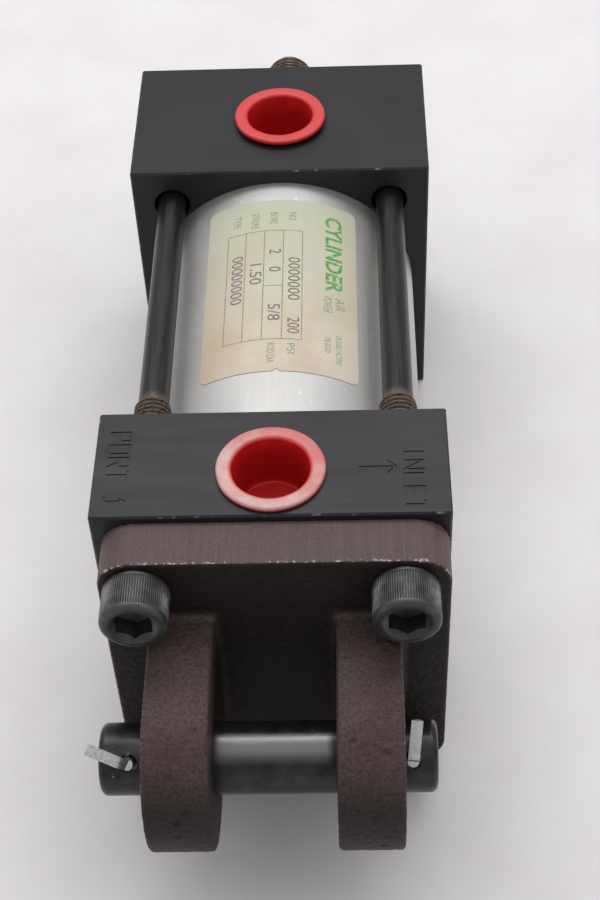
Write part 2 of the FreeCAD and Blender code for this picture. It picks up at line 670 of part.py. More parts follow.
def pieces():
    """Every sub-part by node name."""
    seated = SEAT_DEPTH - GASKET
    cup_width = CUP_GROOVE[0]
    made = {
        "cap_end_block": cap_end_block(),
        "rod_end_block": rod_end_block(),
        "barrel_tube": barrel_tube(),
        "barrel_label": label(),
        "barrel_gasket_cap": barrel_gasket(CAP_INNER - SEAT_DEPTH),
        "barrel_gasket_rod": barrel_gasket(HEAD_INNER + seated),
        "rod_bushing": rod_bushing(),
        "rod_seal": rod_seal(),
        "rod_wiper": rod_wiper(),
        "bushing_o_ring": bushing_o_ring(),
        "bushing_retainer": bushing_retainer(),
        "clevis_bracket": clevis_bracket(),
        "clevis_pin": clevis_pin(),
        "cotter_pin_left": cotter_pin(COTTER_PLACES[0], COTTER_LEANS[0]),
        "cotter_pin_right": cotter_pin(COTTER_PLACES[1], COTTER_LEANS[1]),
        "port_plug_cap": port_plug(CAP_PORT_Y, PLUG_LIFTS[0]),
        "port_plug_rod": port_plug(HEAD_PORT_Y, PLUG_LIFTS[1]),
        "piston": piston(),
        "piston_cup_rear": piston_cup(PISTON_REAR + CUP_PLACE, -1),
        "piston_cup_front": piston_cup(PISTON_FRONT - CUP_PLACE - cup_width, 1),
        "piston_wear_band": piston_wear_band(),
        "piston_o_ring": piston_o_ring(),
        "piston_lock_nut": piston_lock_nut(),
        "piston_rod": piston_rod(),
    }
    for name, x, z in corners():
        made["tie_rod_" + name] = tie_rod(x, z)
        made["tie_rod_nut_" + name] = tie_rod_nut(x, z)
        made["clevis_screw_" + name] = clevis_screw(x, z)
    for name, x, z in retainer_places():
        made["retainer_screw_" + name] = retainer_screw(x, z)
    return made


def main():
    os.makedirs("parts", exist_ok=True)
    for name, shape in pieces().items():
        solids = shape.Solids
        if len(solids) != 1 or not shape.isValid() or solids[0].Volume <= 0:
            raise SystemExit(f"{name}: {len(solids)} solids, valid {shape.isValid()}")
        solids[0].exportStep(f"parts/{name}.step")
        print(f"{name}: {solids[0].Volume / 1000:.2f} cm3, {len(solids[0].Faces)} faces")


main()
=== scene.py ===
"""The looks of a tie-rod air cylinder, in metres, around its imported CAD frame."""
import json
import math
import random

import bmesh
import bpy
import numpy as np
from mathutils import Matrix, Vector, noise


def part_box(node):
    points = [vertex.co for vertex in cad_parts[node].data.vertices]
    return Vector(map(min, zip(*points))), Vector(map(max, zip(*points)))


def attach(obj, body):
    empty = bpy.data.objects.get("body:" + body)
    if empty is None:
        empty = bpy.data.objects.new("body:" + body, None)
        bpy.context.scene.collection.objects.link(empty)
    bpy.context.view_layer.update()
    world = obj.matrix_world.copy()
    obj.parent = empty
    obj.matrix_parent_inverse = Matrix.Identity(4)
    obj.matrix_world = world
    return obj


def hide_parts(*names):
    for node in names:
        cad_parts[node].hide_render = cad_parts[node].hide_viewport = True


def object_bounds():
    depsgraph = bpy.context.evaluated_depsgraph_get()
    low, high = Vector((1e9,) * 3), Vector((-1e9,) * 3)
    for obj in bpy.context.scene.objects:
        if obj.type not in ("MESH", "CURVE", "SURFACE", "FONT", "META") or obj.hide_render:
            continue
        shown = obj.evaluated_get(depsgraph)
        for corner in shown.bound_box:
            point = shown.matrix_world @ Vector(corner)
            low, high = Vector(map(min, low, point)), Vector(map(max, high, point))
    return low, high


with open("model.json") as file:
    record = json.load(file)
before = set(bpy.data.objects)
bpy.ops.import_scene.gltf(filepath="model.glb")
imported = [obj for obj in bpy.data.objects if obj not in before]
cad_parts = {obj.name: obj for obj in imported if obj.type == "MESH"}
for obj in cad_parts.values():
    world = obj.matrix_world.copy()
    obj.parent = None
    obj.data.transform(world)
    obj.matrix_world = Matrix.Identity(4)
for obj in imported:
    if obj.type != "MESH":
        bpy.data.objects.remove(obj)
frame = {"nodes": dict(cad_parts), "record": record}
cad_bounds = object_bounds()

MM = 0.001
TURN = 2 * math.pi
NODES = frame["nodes"]
ROOT = "cylinder_body"
CORNERS = ("upper_left", "upper_right", "lower_left", "lower_right")
PLACES = ("top", "right", "bottom", "left")

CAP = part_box("cap_end_block")
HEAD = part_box("rod_end_block")
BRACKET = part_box("clevis_bracket")
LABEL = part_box("barrel_label")

TIE_CREST = 3.6 * MM
TIE_ROOT = 2.95 * MM
TIE_PITCH = 1.0583 * MM             # 24 threads per inch
TIE_THREAD_SHOWN = 9.9 * MM

SCREW_HEIGHT = 7.9375 * MM          # of a clevis screw's head
EAR_FACES = (-21.9 * MM, 22.6 * MM)     # outer faces of the ears along X

PIN_RADIUS = 6.35 * MM
COTTER_WIRE = 1.0 * MM              # radius of its half-round section
COTTER_LEG = 7.6 * MM
COTTER_TILT = 50.0                  # of the cross holes, in degrees above the -Y axis
COTTER_PLACES = {                   # the hole's place along X, and the leg's lean in degrees
    "cotter_pin_left": (-25.1 * MM, 155.0),
    "cotter_pin_right": (24.0 * MM, 84.0),
}

LABEL_RADIUS = LABEL[1].z           # outer face, straight up
LABEL_THICK = 0.12 * MM
LABEL_CORNER = 1.6 * MM

CAMERA_AZIMUTH = 2.663              # degrees off the cylinder's axis
CAMERA_PITCH = 47.23                # degrees below level
CAMERA_ROLL = 2.976
CAMERA_LENS = 67.38
CAMERA_PLACE = Vector((14.67, -160.91, 253.43)) * MM    # from the origin, on the clevis pin's axis


def middle(node):
    """The middle of a node's box."""
    low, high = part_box(node)
    return (low + high) / 2


# ---------------------------------------------------------------- materials

class Shader:
    """A Principled material, with short calls for the nodes behind it."""

    def __init__(self, name, color, roughness, **sockets):
        self.material = bpy.data.materials.new(name)
        self.material.use_nodes = True
        self.tree = self.material.node_tree
        self.surface = self.tree.nodes["Principled BSDF"]
        self.surface.inputs["Base Color"].default_value = (*color, 1)
        self.surface.inputs["Roughness"].default_value = roughness
        for socket, value in sockets.items():
            self.surface.inputs[socket.replace("_", " ")].default_value = value

    def node(self, kind, inputs, **settings):
        made = self.tree.nodes.new("ShaderNode" + kind)
        for setting, value in settings.items():
            setattr(made, setting, value)
        for socket, value in inputs.items():
            if isinstance(value, bpy.types.NodeSocket):
                self.tree.links.new(value, made.inputs[socket])
            else:
                made.inputs[socket].default_value = value
        return made

    def place(self, stretch=(1, 1, 1)):
        """Object coordinates in millimetres."""
        coords = self.node("TexCoord", {}).outputs["Object"]
        scale = [s / MM for s in stretch]
        return self.node("Mapping", {"Vector": coords, "Scale": scale}).outputs["Vector"]

    def axes(self):
        split = self.node("SeparateXYZ", {"Vector": self.place()})
        return split.outputs["X"], split.outputs["Y"], split.outputs["Z"]

    def noise(self, scale, stretch=(1, 1, 1), detail=3.0, roughness=0.5):
        """Noise with scale in cycles per millimetre."""
        inputs = {"Vector": self.place(stretch), "Scale": scale, "Detail": detail, "Roughness": roughness}
        return self.node("TexNoise", inputs).outputs["Fac"]

    def cells(self, scale, feature="F1"):
        inputs = {"Vector": self.place(), "Scale": scale}
        return self.node("TexVoronoi", inputs, feature=feature).outputs["Distance"]

    def span(self, value, low, high, start=0.0, end=1.0):
        """value from low to high, as start to end, clamped."""
        inputs = {"Value": value, "From Min": low, "From Max": high, "To Min": start, "To Max": end}
        return self.node("MapRange", inputs).outputs["Result"]

    def calc(self, operation, *values):
        return self.node("Math", dict(enumerate(values)), operation=operation).outputs[0]

    def mix(self, share, first, second):
        """A colour between first and second."""
        colors = [c if isinstance(c, bpy.types.NodeSocket) else (*c, 1) for c in (first, second)]
        return self.node("Mix", {0: share, 6: colors[0], 7: colors[1]}, data_type="RGBA").outputs[2]

    def attribute(self, name):
        return self.node("Attribute", {}, attribute_name=name).outputs["Fac"]

    def feed(self, socket, value):
        self.tree.links.new(value, self.surface.inputs[socket])

    def bump(self, height, depth, strength=1.0):
        """Bump from a height of 0 to 1, depth in millimetres."""
        inputs = {"Height": height, "Distance": depth * MM, "Strength": strength}
        self.feed("Normal", self.node("Bump", inputs).outputs["Normal"])


def near_edges(shader, low, high, width):
    """1 along a block's edges, where two of its faces meet, and 0 elsewhere. width is in millimetres."""
    near = []
    for value, axis in zip(shader.axes(), range(3)):
        centre = (low[axis] + high[axis]) / 2 / MM
        half = (high[axis] - low[axis]) / 2 / MM
        off = shader.calc("ABSOLUTE", shader.calc("SUBTRACT", value, centre))
        near.append(shader.span(off, half - width, half - 0.3 * width))
    faces_near = shader.calc("ADD", shader.calc("ADD", near[0], near[1]), near[2])
    return shader.span(faces_near, 1.2, 1.9)


def block_anodised(name, low, high):
    """Black anodised aluminium with milling lines across it, dust and worn edges."""
    s = Shader(name, (0.014, 0.0145, 0.017), 0.42, Specular_IOR_Level=0.36)
    lines = s.noise(1.0, stretch=(0.03, 5.0, 5.0), detail=4)
    cloud = s.noise(0.06, detail=3)
    dust = s.span(s.cells(0.9), 0.0, 0.07, 1.0, 0.0)
    dust = s.calc("MULTIPLY", dust, s.span(s.noise(0.35), 0.55, 0.75))
    tone = s.mix(s.span(cloud, 0.3, 0.7), (0.0085, 0.0085, 0.0115), (0.0135, 0.0135, 0.0170))
    tone = s.mix(s.span(lines, 0.35, 0.75, 0, 0.35), tone, (0.026, 0.026, 0.029))
    tone = s.mix(s.calc("MULTIPLY", dust, 0.35), tone, (0.35, 0.34, 0.34))
    patches = s.span(s.noise(0.45, detail=4), 0.60, 0.70)
    worn = s.calc("MULTIPLY", near_edges(s, low, high, 0.45), patches)
    s.feed("Base Color", s.mix(s.calc("MULTIPLY", worn, 0.6), tone, (0.40, 0.39, 0.39)))
    s.feed("Roughness", s.span(s.noise(0.25, stretch=(0.2, 1, 1)), 0.3, 0.7, 0.36, 0.5))
    s.bump(lines, 0.012, 0.5)
    return s.material


def barrel_aluminium():
    """Satin aluminium, drawn along the barrel, with scuffs."""
    s = Shader("barrel_aluminium", (0.80, 0.79, 0.77), 0.48, Metallic=0.8)
    drawn = s.noise(1.0, stretch=(3.0, 0.03, 3.0), detail=3)
    cloud = s.noise(0.05, detail=4)
    scuff = s.span(s.noise(0.7, stretch=(1, 0.4, 1), detail=5), 0.66, 0.74)
    tone = s.mix(s.span(cloud, 0.35, 0.7), (0.61, 0.60, 0.585), (0.54, 0.53, 0.515))
    s.feed("Base Color", s.mix(s.calc("MULTIPLY", scuff, 0.4), tone, (0.93, 0.93, 0.92)))
    s.feed("Roughness", s.span(drawn, 0.3, 0.7, 0.48, 0.58))
    s.bump(drawn, 0.004, 0.4)
    return s.material


def label_film():
    """Cream film, stained towards the cap, and most on its -X side."""
    s = Shader("label_film", (0.62, 0.58, 0.47), 0.5, Coat_Weight=0.15, Coat_Roughness=0.35)
    x, y, _ = s.axes()
    low, high = LABEL
    to_cap = s.span(y, low.y / MM, high.y / MM, 1.0, 0.0)
    stain = s.span(s.noise(0.07, detail=5, roughness=0.6), 0.42, 0.68)
    stain = s.calc("MULTIPLY", stain, s.span(to_cap, 0.1, 0.9, 0.25, 1.0))
    tone = s.mix(to_cap, (0.51, 0.53, 0.40), (0.64, 0.56, 0.46))
    tone = s.mix(s.calc("MULTIPLY", stain, 0.55), tone, (0.50, 0.36, 0.23))
    spots = s.span(s.noise(0.9, detail=5), 0.70, 0.76)
    tone = s.mix(s.calc("MULTIPLY", spots, 0.4), tone, (0.26, 0.19, 0.13))
    left = s.calc("MULTIPLY", s.span(x, -15.5, -6.0, 1.0, 0.0), s.span(to_cap, 0.2, 0.8))
    s.feed("Base Color", s.mix(s.calc("MULTIPLY", left, 0.6), tone, (0.50, 0.37, 0.22)))
    s.feed("Roughness", s.span(s.noise(0.4), 0.3, 0.7, 0.42, 0.58))
    s.bump(s.noise(0.5, detail=3), 0.01, 0.4)
    return s.material


def label_ink(name, color, cover):
    """Ink that has faded unevenly; cover is how much of it is left."""
    s = Shader(name, color, 0.5)
    worn = s.span(s.noise(1.6, detail=4), 0.35, 0.75, 1.0 - cover, 1.15 - cover)
    s.feed("Base Color", s.mix(worn, color, (0.60, 0.56, 0.46)))
    s.bump(s.noise(2.0), 0.004, 0.3)
    return s.material


def clevis_iron():
    """Sand cast iron under a dark brown finish: grainy, with bright grains and milled plate edges.

    The plate's front, and the ears below their upper edges, are darkened with painted shade."""
    s = Shader("clevis_iron", (0.10, 0.07, 0.068), 0.55, Specular_IOR_Level=0.22)
    _, y, z = s.axes()
    milled = s.attribute("milled")
    grain = s.noise(1.7, detail=5, roughness=0.65)
    fine = s.noise(5.0, detail=3, roughness=0.6)
    cloud = s.noise(0.07, detail=4)
    streaks = s.noise(1.0, stretch=(2.2, 0.06, 2.2), detail=4, roughness=0.6)
    cast = s.mix(s.span(cloud, 0.35, 0.7), (0.070, 0.045, 0.042), (0.098, 0.067, 0.063))
    cast = s.mix(s.span(grain, 0.3, 0.62, 0.75, 0.0), cast, (0.018, 0.011, 0.011))
    # painted shade: the plate's front face and the ears below their upper edges are darkened where shade
    # falls
    plate_front_shade = s.span(y, 18.5, 19.0)
    ear_shade_painted = s.calc("MULTIPLY", s.span(z, 12.5, 6.0, 0.0, 0.75), s.span(z, -9.0, 1.0, 0.4, 1.0))
    painted_shade_share = s.calc("MAXIMUM", s.calc("MULTIPLY", plate_front_shade, 0.85), ear_shade_painted)
    cast = s.mix(painted_shade_share, cast, (0.009, 0.0065, 0.006))
    plate = s.mix(s.span(streaks, 0.35, 0.7), (0.122, 0.078, 0.079), (0.152, 0.106, 0.105))
    plate = s.mix(s.span(fine, 0.35, 0.6, 0.6, 0.0), plate, (0.055, 0.032, 0.032))
    tone = s.mix(milled, cast, plate)
    sparks = s.span(s.cells(1.8), 0.0, 0.13, 1.0, 0.0)
    sparks = s.calc("MULTIPLY", sparks, s.span(s.noise(1.1), 0.50, 0.60))
    tone = s.mix(s.calc("MULTIPLY", sparks, 0.75), tone, (0.55, 0.48, 0.45))
    edge = s.attribute("edge")
    flakes = s.noise(1.3, detail=5, roughness=0.7)
    chips = s.span(s.calc("ADD", flakes, s.calc("MULTIPLY", edge, 0.22)), 0.66, 0.72)
    chips = s.calc("MULTIPLY", chips, edge)
    s.feed("Base Color", s.mix(chips, tone, (0.66, 0.62, 0.58)))
    s.feed("Roughness", s.span(grain, 0.3, 0.7, 0.62, 0.42))
    s.bump(s.calc("ADD", s.calc("MULTIPLY", grain, 0.7), s.calc("MULTIPLY", fine, 0.3)), 0.22, 0.8)
    return s.material


def black_oxide(name, color, roughness, wear=0.26):
    """Black oxide steel; crests marked by the mesh's wear attribute rub through to bright steel."""
    s = Shader(name, color, roughness, Metallic=0.55)
    cloud = s.noise(0.35, detail=4)
    crest = s.calc("MULTIPLY", s.attribute("wear"), s.span(s.noise(0.5, detail=3), 0.30, 0.66))
    lighter = tuple(c * 2.0 for c in color)
    tone = s.mix(s.span(cloud, 0.35, 0.7), color, lighter)
    s.feed("Base Color", s.mix(s.calc("MULTIPLY", crest, wear), tone, (0.42, 0.40, 0.39)))
    s.feed("Roughness", s.span(cloud, 0.3, 0.7, roughness - 0.05, roughness + 0.08))
    s.bump(s.noise(3.0, detail=4), 0.02, 0.35)
    return s.material


def pin_black_oxide():
    """Ground pin: fine lines round it, a painted highlight along its top between the ears, and a few bright
    nicks.
    """
    s = Shader("pin_black_oxide", (0.03, 0.03, 0.032), 0.32, Metallic=0.75)
    ground = s.noise(1.0, stretch=(5.0, 0.4, 0.4), detail=4)
    cloud = s.noise(0.25, detail=5, roughness=0.6)
    nicks = s.span(s.noise(1.1, detail=5), 0.72, 0.76)
    x, y, z = s.axes()
    tone = s.mix(s.span(cloud, 0.3, 0.7), (0.018, 0.017, 0.017), (0.055, 0.053, 0.053))
    # painted highlight: a lighter band along the pin's top, between the ears
    painted_highlight = s.calc("MULTIPLY", s.span(z, 4.4, 6.0), s.span(y, 1.2, -0.4))
    painted_highlight = s.calc("MULTIPLY", painted_highlight, s.span(s.calc("ABSOLUTE", x), 10.4, 9.2))
    tone = s.mix(s.calc("MULTIPLY", painted_highlight, 0.75), tone, (0.20, 0.195, 0.205))
    s.feed("Base Color", s.mix(s.calc("MULTIPLY", nicks, 0.7), tone, (0.5, 0.5, 0.5)))
    s.feed("Roughness", s.span(cloud, 0.3, 0.7, 0.26, 0.36))
    s.bump(ground, 0.01, 0.5)
    return s.material


def cotter_zinc():
    """Bright zinc on drawn wire."""
    s = Shader("cotter_zinc", (0.66, 0.67, 0.67), 0.36, Metallic=0.9)
    drawn = s.noise(2.5, detail=4)
    s.feed("Base Color", s.mix(s.span(drawn, 0.3, 0.7), (0.52, 0.53, 0.53), (0.78, 0.79, 0.79)))
    s.feed("Roughness", s.span(drawn, 0.3, 0.7, 0.30, 0.48))
    s.bump(drawn, 0.02, 0.4)
    return s.material


def tie_rod_steel():
    """Drawn steel, with rust in the threads beside the cap."""
    s = Shader("tie_rod_steel", (0.085, 0.080, 0.078), 0.42, Metallic=0.7)
    _, y, _ = s.axes()
    drawn = s.noise(1.0, stretch=(3, 0.08, 3), detail=4)
    start = CAP[1].y / MM
    threads = s.span(y, start + 9.0, start + 11.5, 1.0, 0.0)
    rust = s.calc("MULTIPLY", threads, s.span(s.noise(1.4, detail=5, roughness=0.65), 0.3, 0.6))
    tone = s.mix(s.span(drawn, 0.3, 0.7), (0.022, 0.021, 0.021), (0.046, 0.045, 0.044))
    s.feed("Base Color", s.mix(s.calc("MULTIPLY", rust, 0.85), tone, (0.21, 0.145, 0.110)))
    s.feed("Roughness", s.span(rust, 0.0, 1.0, 0.36, 0.66))
    s.feed("Metallic", s.span(rust, 0.0, 1.0, 0.7, 0.1))
    s.bump(drawn, 0.01, 0.4)
    return s.material


def rod_chrome():
    """Hard chrome on the rod; its threaded end is plain steel under old oil."""
    s = Shader("rod_chrome", (0.62, 0.62, 0.63), 0.16, Metallic=1.0)
    _, y, _ = s.axes()
    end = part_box("piston_rod")[1].y / MM
    plain = s.span(y, end - 29.0, end - 28.0)
    cloud = s.noise(0.5, detail=4)
    steel = s.mix(s.span(cloud, 0.3, 0.7), (0.13, 0.105, 0.085), (0.24, 0.20, 0.165))
    chrome = s.mix(s.span(cloud, 0.3, 0.7), (0.62, 0.62, 0.63), (0.70, 0.70, 0.71))
    s.feed("Base Color", s.mix(plain, chrome, steel))
    s.feed("Roughness", s.span(plain, 0.0, 1.0, 0.14, 0.45))
    s.bump(s.noise(1.0, stretch=(1, 6, 1), detail=3), 0.006, 0.3)
    return s.material


def plug_plastic(name, node, worn):
    """Soft red moulding. worn bleaches its flange."""
    s = Shader(name, (0.60, 0.008, 0.010), 0.38, Subsurface_Weight=0.12, Subsurface_Scale=0.0015,
               Subsurface_Radius=(1.0, 0.15, 0.1))
    x, y, z = s.axes()
    centre = middle(node) / MM
    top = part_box(node)[1].z / MM
    off_x = s.calc("SUBTRACT", x, centre.x)
    off_y = s.calc("SUBTRACT", y, centre.y)
    out = s.calc("SQRT", s.calc("ADD", s.calc("MULTIPLY", off_x, off_x), s.calc("MULTIPLY", off_y, off_y)))
    cloud = s.noise(0.3, detail=4)
    red = s.mix(s.span(cloud, 0.3, 0.7), (0.52, 0.006, 0.008), (0.66, 0.012, 0.014))
    # painted shade: the cup's inner wall is darker below its mouth, and less so on its floor
    cup_shade_painted = s.calc("MULTIPLY", s.span(z, top - 1.0, top - 4.0), s.span(out, 7.6, 7.0))
    cup_shade_painted = s.calc("MULTIPLY", cup_shade_painted, s.span(z, top - 10.6, top - 9.6, 0.2, 1.0))
    red = s.mix(s.calc("MULTIPLY", cup_shade_painted, 0.7), red, (0.33, 0.006, 0.006))
    flange = s.calc("MULTIPLY", s.span(out, 7.0, 7.9), s.span(z, top - 0.75, top - 0.3))
    if worn:
        away = s.calc("ADD", s.calc("MULTIPLY", off_x, 0.035), s.calc("MULTIPLY", off_y, 0.045))
        fading = s.calc("SUBTRACT", s.noise(0.22, detail=5, roughness=0.6), away)
        share = s.span(fading, 0.15, 0.62, 0.45, 0.97)
        pale = s.mix(s.span(s.noise(0.5, detail=4), 0.35, 0.7), (0.60, 0.32, 0.30), (0.66, 0.43, 0.40))
        tone = s.mix(s.calc("MULTIPLY", flange, share), red, pale)
        specks = s.calc("MULTIPLY", s.span(s.noise(1.3, detail=5), 0.66, 0.72), flange)
        tone = s.mix(s.calc("MULTIPLY", specks, 0.5), tone, (0.30, 0.14, 0.09))
    else:
        tone = s.mix(s.calc("MULTIPLY", flange, 0.5), red, (0.72, 0.10, 0.095))
    s.feed("Base Color", tone)
    s.feed("Roughness", s.span(cloud, 0.3, 0.7, 0.34, 0.5))
    s.bump(s.noise(1.2, detail=4), 0.03, 0.3)
    return s.material


def plain_metal(name, color, roughness, metallic=1.0):
    """Turned metal for the inner pieces and nuts, with fine lines round the cylinder's axis."""
    s = Shader(name, color, roughness, Metallic=metallic)
    turned = s.noise(1.0, stretch=(0.3, 6.0, 0.3), detail=3)
    darker = tuple(c * 0.72 for c in color)
    s.feed("Base Color", s.mix(s.span(turned, 0.3, 0.7), darker, color))
    s.feed("Roughness", s.span(turned, 0.3, 0.7, roughness - 0.06, roughness + 0.08))
    s.bump(turned, 0.01, 0.4)
    return s.material


def soft_seal(name, color):
    """Rubber, fibre or soft polymer with a fine mottle."""
    s = Shader(name, color, 0.55)
    mottled = s.noise(1.5, detail=4)
    lighter = tuple(min(1.0, c * 1.6) for c in color)
    s.feed("Base Color", s.mix(s.span(mottled, 0.3, 0.7), color, lighter))
    s.bump(mottled, 0.02, 0.3)
    return s.material


def floor_paper():
    """A pale floor with a faint mottle."""
    s = Shader("floor_paper", (0.80, 0.775, 0.795), 0.55, Specular_IOR_Level=0.3)
    mottle = s.noise(0.035, detail=6, roughness=0.62)
    s.feed("Base Color", s.mix(s.span(mottle, 0.35, 0.68), (0.78, 0.755, 0.775), (0.84, 0.82, 0.835)))
    s.bump(s.noise(0.12, detail=5), 0.35, 0.35)
    return s.material


MATERIALS = {
    "barrel_aluminium": barrel_aluminium(),
    "label_film": label_film(),
    "gasket_fibre": soft_seal("gasket_fibre", (0.07, 0.065, 0.06)),
    "bushing_bronze": plain_metal("bushing_bronze", (0.55, 0.36, 0.16), 0.34),
    "seal_rubber": soft_seal("seal_rubber", (0.022, 0.022, 0.023)),
    "retainer_steel": plain_metal("retainer_steel", (0.055, 0.055, 0.058), 0.42, 0.7),
    "clevis_iron": clevis_iron(),
    "pin_black_oxide": pin_black_oxide(),
    "cotter_zinc": cotter_zinc(),
    "plug_red": plug_plastic("plug_red", "port_plug_rod", worn=False),
    "plug_red_worn": plug_plastic("plug_red_worn", "port_plug_cap", worn=True),
    "piston_aluminium": plain_metal("piston_aluminium", (0.70, 0.70, 0.71), 0.32),
    "wear_band_polymer": soft_seal("wear_band_polymer", (0.16, 0.13, 0.09)),
    "nut_steel": plain_metal("nut_steel", (0.09, 0.085, 0.08), 0.45, 0.8),
    "tie_rod_steel": tie_rod_steel(),
    "rod_chrome": rod_chrome(),
    "screw_black_oxide": black_oxide("screw_black_oxide", (0.040, 0.040, 0.042), 0.38),
}


def dress_cad_nodes():
    """Every CAD node gets the material of its slot."""
    for row in frame["record"]["subparts"]:
        node, slot = row["node"], row["material_slot"]
        if slot == "block_anodised":
            material = block_anodised(node + "_anodised", *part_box(node))
        else:
            material = MATERIALS[slot]
        NODES[node].material_slots[0].material = material


# ---------------------------------------------------------------- mesh tools

def finish_piece(piece, slot, body=ROOT, sharp=35.0, replaces=(), material=None):
    """Smooth shading with sharp corners, a material, and a body to ride on."""
    mesh = piece.data
    solid = bmesh.new()
    solid.from_mesh(mesh)
    bmesh.ops.recalc_face_normals(solid, faces=solid.faces)
    solid.to_mesh(mesh)
    solid.free()
    mesh.polygons.foreach_set("use_smooth", [True] * len(mesh.polygons))
    mesh.set_sharp_from_angle(angle=math.radians(sharp))
    mesh.materials.clear()
    mesh.materials.append(material or MATERIALS[slot])
    bpy.context.scene.collection.objects.link(piece)
    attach(piece, body)
    if replaces:
        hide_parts(*replaces)
    return piece


def new_piece(name, vertices, faces):
    """An object with a mesh of its own, which finish_piece puts into the scene."""
    mesh = bpy.data.meshes.new(name)
    mesh.from_pydata([tuple(v) for v in vertices], [], faces)
    return bpy.data.objects.new(name, mesh)


def mark(piece, name, values):
    """A number for each vertex, which the piece's material reads."""
    attribute = piece.data.attributes.new(name, "FLOAT", "POINT")
    attribute.data.foreach_set("value", np.asarray(values, np.float32))


def skin(rings, loop=False):
    """Vertices and faces of a tube through rings of points. Its ends are closed, or they meet in a loop."""
    count = len(rings[0])
    vertices = [point for ring in rings for point in ring]
    faces = []
    for row in range(len(rings) if loop else len(rings) - 1):
        for k in range(count):
            after = (k + 1) % count
            here, there = row * count, (row + 1) % len(rings) * count
            faces.append((here + k, here + after, there + after, there + k))
    if not loop:
        faces.append(tuple(range(count)))
        faces.append(tuple(range(len(vertices) - count, len(vertices))))
    return vertices, faces


def even_angles(count):
    return [TURN * k / count for k in range(count)]


def ring_y(centre, y, radius, angles):
    """Points round an axis along Y. radius is a number or a function of the angle."""
    reach = radius if callable(radius) else lambda _: radius
    return [
        Vector((centre.x + reach(a) * math.cos(a), y, centre.z + reach(a) * math.sin(a)))
        for a in angles
    ]


def smooth_step(value):
    value = min(1.0, max(0.0, value))
    return value * value * (3 - 2 * value)


def thread_height(y, angle, pitch):
    """From 0 at the root to 1 at the crest of a right-hand thread along Y."""
    root_flat = 0.14                # flat and flank are shares of half a pitch
    flank = 0.62
    phase = (y / pitch + angle / TURN) % 1.0
    return min(1.0, max(0.0, (1 - abs(2 * phase - 1) - root_flat) / flank))


def thread_rows(start, end, pitch, root, crest, fade_start, fade_end):
    """(y, radius) rows of a thread, which fades into its root over the two given lengths."""
    rows = []
    samples = 12
    for k in range(int((end - start) / pitch * samples) + 1):
        y = start + k * pitch / samples
        share = 1.0
        if fade_start:
            share = min(share, smooth_step((y - start) / fade_start))
        if fade_end:
            share = min(share, smooth_step((end - y) / fade_end))

        def radius(angle, y=y, share=share):
            return root + (crest - root) * share * thread_height(y, angle, pitch)

        rows.append((y, radius))
    return rows


def turned_y(name, centre, rows, angles):
    """A piece turned about an axis along Y through centre, from (y, radius) rows."""
    return new_piece(name, *skin([ring_y(centre, y, radius, angles) for y, radius in rows]))


# ---------------------------------------------------------------- pieces

def tie_rods():
    """The four tie rods, with rolled threads where they leave the cap and where they pass their nuts."""
    angles = even_angles(56)
    bevel = 0.7 * MM
    before_nut = 3.5 * MM
    cap_thread = CAP[1].y - 2 * TIE_PITCH
    for corner in CORNERS:
        node = "tie_rod_" + corner
        low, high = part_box(node)
        centre = middle(node)
        nut_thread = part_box("tie_rod_nut_" + corner)[0].y - before_nut
        rows = [(low.y, TIE_ROOT - bevel), (low.y + bevel, TIE_CREST), (cap_thread - bevel, TIE_CREST)]
        rows += thread_rows(cap_thread, CAP[1].y + TIE_THREAD_SHOWN, TIE_PITCH, TIE_ROOT, TIE_CREST,
                            0, 1.5 * TIE_PITCH)
        rows += [(HEAD[0].y - 1 * MM, TIE_ROOT), (nut_thread - 0.5 * MM, TIE_ROOT)]
        rows += thread_rows(nut_thread, high.y - bevel, TIE_PITCH, TIE_ROOT, TIE_CREST, TIE_PITCH, 0)
        rows += [(high.y - 0.3 * MM, TIE_ROOT + 0.1 * MM), (high.y, TIE_ROOT - 0.3 * MM)]
        rod = turned_y(node + "_threaded", centre, rows, angles)
        finish_piece(rod, "tie_rod_steel", sharp=50, replaces=[node])


def piston_rod():
    """The rod with its wrench flats, its end thread and a centre drilled in its end."""
    low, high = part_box("piston_rod")
    across = 12.7 * MM
    rod = (high.x - low.x) / 2
    bevel = 0.5 * MM
    drilled = 1.6 * MM
    drilled_depth = 1.3 * MM
    crest = 5.52 * MM
    root = 4.75 * MM
    pitch = 1.27 * MM
    thread_length = 19.05 * MM
    flats_length = 9.525 * MM
    shoulder = high.y - thread_length
    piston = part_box("piston")[1].y
    neck = 6.35 * MM
    corner = math.acos(across / 2 / rod)
    corners = {(flat + side * corner) % TURN for flat in (0.0, math.pi) for side in (-1, 1)}
    angles = sorted(set(even_angles(96)) | corners)

    def flatted(angle):
        return min(rod, across / 2 / max(1e-6, abs(math.cos(angle))))

    rows = [
        (low.y, neck - bevel), (low.y + bevel, neck), (piston, neck), (piston, rod),
        (shoulder - flats_length, rod), (shoulder - flats_length, flatted),
        (shoulder - bevel, flatted), (shoulder, lambda angle: flatted(angle) - bevel),
        (shoulder, root - 0.1 * MM), (shoulder + 1.0 * MM, root - 0.1 * MM),
    ]
    rows += thread_rows(shoulder + 1.2 * MM, high.y - 0.9 * MM, pitch, root, crest, pitch, 0.6 * pitch)
    rows += [(high.y - bevel, root - 0.1 * MM), (high.y, root - 0.7 * MM)]
    rows += [(high.y, drilled), (high.y - drilled_depth, 0.1 * MM)]
    piece = turned_y("piston_rod_threaded", middle("piston_rod"), rows, angles)
    finish_piece(piece, "rod_chrome", "rod_and_piston", sharp=40, replaces=["piston_rod"])


